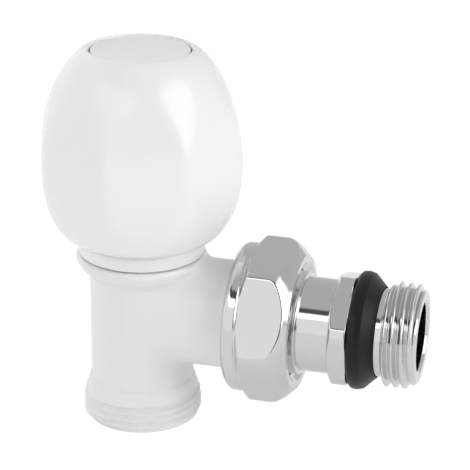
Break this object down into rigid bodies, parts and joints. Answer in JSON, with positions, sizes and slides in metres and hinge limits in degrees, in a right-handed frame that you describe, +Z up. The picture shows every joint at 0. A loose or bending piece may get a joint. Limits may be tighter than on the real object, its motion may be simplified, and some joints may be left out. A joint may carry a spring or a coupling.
{
  "type": "angled radiator valve",
  "caption": "Manual angled radiator valve with a faceted white handwheel, a threaded inlet below, and a chrome union nut and self-sealing tailpiece at the side.",
  "frame": {"origin": "centre of the inlet's end face, on the inlet's axis", "axes": "+Z up along the inlet and the spindle, +X along the outlet towards the radiator, -Y towards the viewer"},
  "size_m": [0.0781, 0.0414, 0.0774],
  "materials": {
    "body_metal": "white enamel, satin",
    "brass": "machined",
    "seal_rubber": "matt black",
    "slip_plastic": "matt",
    "ring_plastic": "white, satin",
    "spindle_steel": "turned",
    "wheel_plastic": "white, satin",
    "chrome_nut": "polished",
    "chrome_tail": "polished",
    "ring_rubber": "smooth black"
  },
  "bodies": {
    "valve": {"valve_body": "body_metal", "bonnet": "brass", "bonnet_o_ring": "seal_rubber", "gland_nut": "brass", "friction_washer": "slip_plastic", "spindle_lower_o_ring": "seal_rubber", "spindle_upper_o_ring": "seal_rubber", "collar_ring": "ring_plastic", "tailpiece": "chrome_tail", "union_o_ring": "seal_rubber", "sealing_ring": "ring_rubber"},
    "handwheel_set": {"handwheel": "wheel_plastic", "handwheel_cap": "wheel_plastic", "handwheel_screw": "spindle_steel", "spindle": "spindle_steel"},
    "shutter_set": {"shutter": "brass", "seat_washer": "seal_rubber", "seat_washer_screw": "spindle_steel"},
    "thrust_ring": {"union_thrust_ring": "spindle_steel"},
    "nut": {"union_nut": "chrome_nut"}
  },
  "joints": [
    {"name": "handwheel_turn", "type": "hinge", "parent": "valve", "child": "handwheel_set", "pos_m": [0, 0, 0.0537], "axis": [0, 0, 1], "range_deg": [0, 720]},
    {"name": "shutter_lift", "type": "slide", "parent": "valve", "child": "shutter_set", "axis": [0, 0, 1], "range_m": [0, 0.003]},
    {"name": "thrust_ring_slide", "type": "slide", "parent": "valve", "child": "thrust_ring", "axis": [1, 0, 0], "range_m": [0, 0.00636]},
    {"name": "nut_turn", "type": "hinge", "parent": "thrust_ring", "child": "nut", "pos_m": [0.0267, 0, 0.0237], "axis": [1, 0, 0], "range_deg": [0, 1260]}
  ],
  "couplings": [
    {"joint": "shutter_lift", "follows": "handwheel_turn", "m_per_rad": 0.00023873},
    {"joint": "thrust_ring_slide", "follows": "nut_turn", "m_per_rad": 0.00028871}
  ]
}
